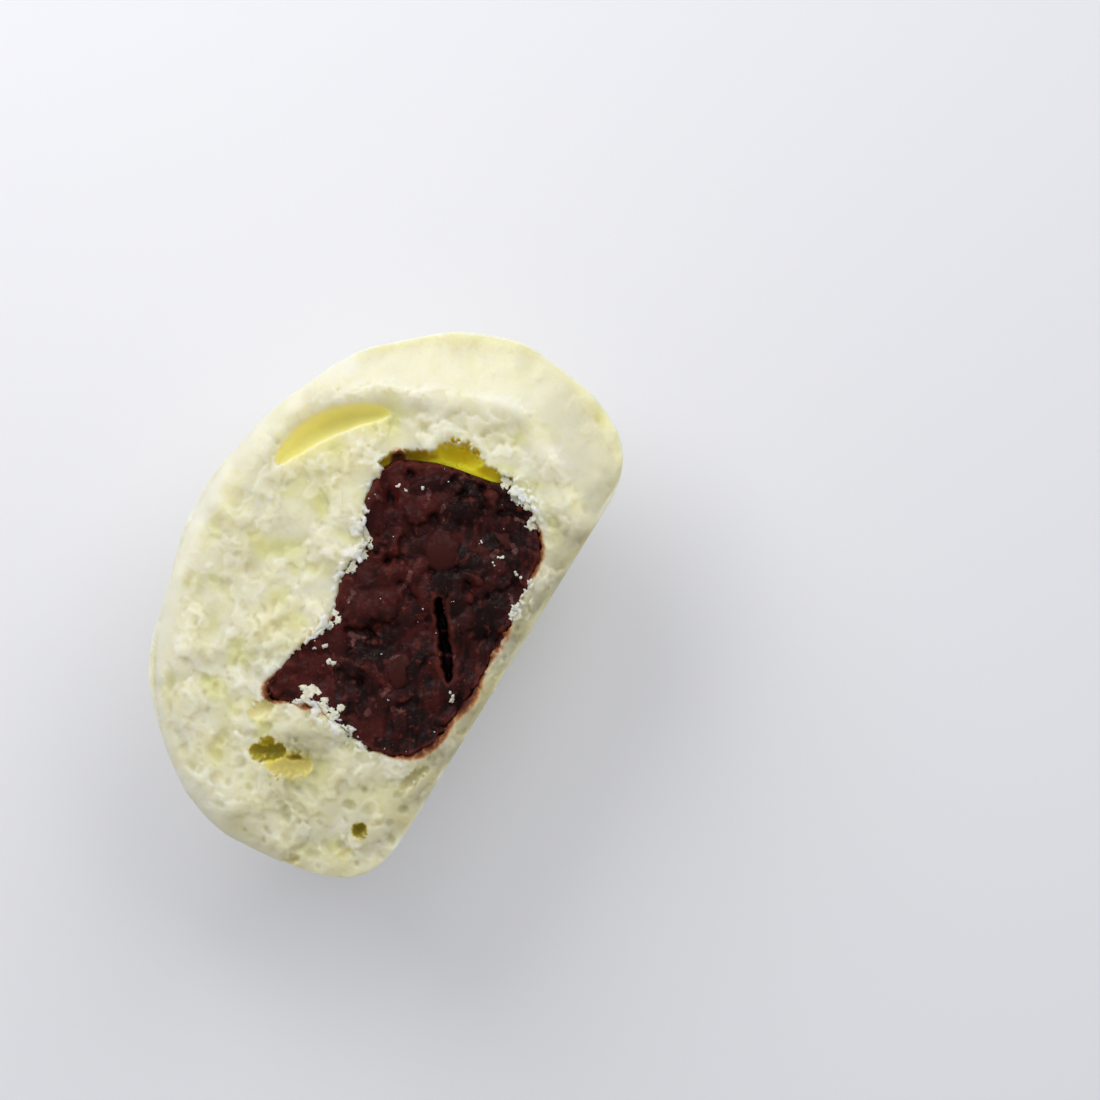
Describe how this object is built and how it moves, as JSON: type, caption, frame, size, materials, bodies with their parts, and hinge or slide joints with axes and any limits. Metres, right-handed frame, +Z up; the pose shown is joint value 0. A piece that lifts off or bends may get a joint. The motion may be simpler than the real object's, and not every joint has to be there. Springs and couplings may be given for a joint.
{
  "type": "half of a steamed manju bun with bean paste",
  "caption": "Torn half of a round steamed bun lying on its domed back, with a chunky sweet bean paste filling in the torn face.",
  "frame": {"origin": "under the middle of the piece's box, on the surface it lies on", "axes": "+X along the bun's flat base, +Y from the flat base to the top of the dome, +Z up, out of the torn face"},
  "size_m": [0.0946, 0.0578, 0.0459],
  "materials": {
    "steamed_dough": "smooth satin skin outside, matt torn crumb inside",
    "sweet_bean_paste": "moist dark red-brown paste, unevenly glossy"
  },
  "bodies": {
    "root": {"bun": "steamed_dough", "bean_paste": "sweet_bean_paste"}
  },
  "joints": []
}
